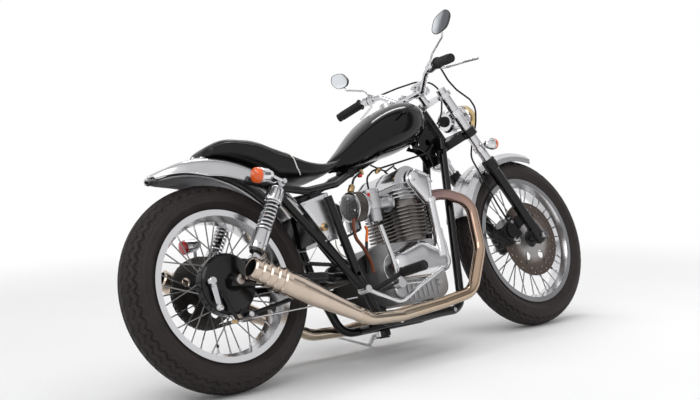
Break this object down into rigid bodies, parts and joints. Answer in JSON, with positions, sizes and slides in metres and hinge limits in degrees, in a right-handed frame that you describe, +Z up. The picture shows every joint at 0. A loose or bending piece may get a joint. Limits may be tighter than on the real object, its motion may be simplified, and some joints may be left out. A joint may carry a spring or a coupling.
{
  "type": "chopper motorcycle",
  "caption": "Lean custom motorcycle with a vertical twin engine, low pleated seat, narrow tank and swept-up exhausts, parked leaning on its side stand.",
  "frame": {"origin": "on the floor below the middle of the machine's box, as it is parked leaning on its side stand", "axes": "+X forwards along the wheelbase, +Y to the rider's left, towards which the machine leans, +Z up"},
  "size_m": [2.1275, 0.897, 1.2335],
  "materials": {
    "tyre_rubber": "matte treaded rubber, slightly dusty",
    "polished_alloy": "polished",
    "engine_alloy": "polished and cast alloy",
    "chrome": "bright plated",
    "black_paint": "satin black",
    "gloss_black": "deep gloss black lacquer",
    "fender_steel": "brushed and polished",
    "exhaust_steel": "stainless with heat tint",
    "seat_leather": "black padded leather with pleats",
    "grip_rubber": "moulded rubber",
    "disc_steel": "ground, drilled and rusty at the edge",
    "chain_steel": "oiled",
    "indicator": "bright body with orange lens",
    "lamp": "bright body with lens",
    "mirror": "silvered glass in a dark rim"
  },
  "bodies": {
    "chassis": {"drive_chain": "chain_steel", "rear_axle": "chrome", "frame": "black_paint", "rear_frame_left": "black_paint", "rear_frame_right": "black_paint", "swingarm": "black_paint", "crankcase": "engine_alloy", "cylinder_block": "engine_alloy", "cylinder_head": "engine_alloy", "cam_cover": "polished_alloy", "engine_cover_right": "polished_alloy", "engine_cover_left": "polished_alloy", "bevel_drive": "polished_alloy", "carburettors": "engine_alloy", "air_filters": "chrome", "exhaust_pipe_left": "exhaust_steel", "exhaust_pipe_right": "exhaust_steel", "muffler_left": "exhaust_steel", "muffler_right": "exhaust_steel", "fuel_tank": "gloss_black", "fuel_cap": "chrome", "seat": "seat_leather", "rear_fender": "fender_steel", "rear_shocks": "chrome", "footpegs": "grip_rubber", "brake_pedal": "polished_alloy", "kick_lever": "polished_alloy", "shift_lever": "polished_alloy", "tail_lamp": "lamp", "rear_indicators": "indicator", "side_plates": "polished_alloy", "battery_box": "black_paint", "rear_brake_plate": "black_paint", "throttle_cable": "grip_rubber"},
    "steering": {"fork_tubes": "chrome", "fork_sliders": "black_paint", "lower_yoke": "black_paint", "top_yoke": "polished_alloy", "handlebar": "chrome", "handlebar_grips": "grip_rubber", "levers": "polished_alloy", "mirrors": "mirror", "headlamp": "lamp", "front_indicators": "indicator", "speedometer": "chrome", "front_fender": "fender_steel", "brake_caliper": "black_paint", "front_axle": "chrome", "control_cables": "grip_rubber"},
    "front_wheel": {"front_tyre": "tyre_rubber", "front_wheel": "polished_alloy", "front_brake_disc": "disc_steel"},
    "rear_wheel": {"rear_tyre": "tyre_rubber", "rear_wheel": "polished_alloy", "rear_sprocket": "chain_steel"},
    "side_stand": {"side_stand": "polished_alloy"}
  },
  "joints": [
    {"name": "steering_turn", "type": "hinge", "parent": "chassis", "child": "steering", "pos_m": [0.37782, 0.00622, 0.79766], "axis": [-0.4924, 0.2617, 0.8301], "range_deg": [-36, 36]},
    {"name": "front_wheel_spin", "type": "hinge", "parent": "steering", "child": "front_wheel", "pos_m": [0.72375, -0.14222, 0.32686], "axis": [0, 0.9537, -0.3007], "continuous": true},
    {"name": "rear_wheel_spin", "type": "hinge", "parent": "chassis", "child": "rear_wheel", "pos_m": [-0.73125, -0.1443, 0.32026], "axis": [0, 0.9537, -0.3007], "continuous": true},
    {"name": "side_stand_fold", "type": "hinge", "parent": "chassis", "child": "side_stand", "pos_m": [-0.00625, -0.09304, 0.05717], "axis": [0, 0.2038, 0.979], "range_deg": [0, 90]}
  ]
}
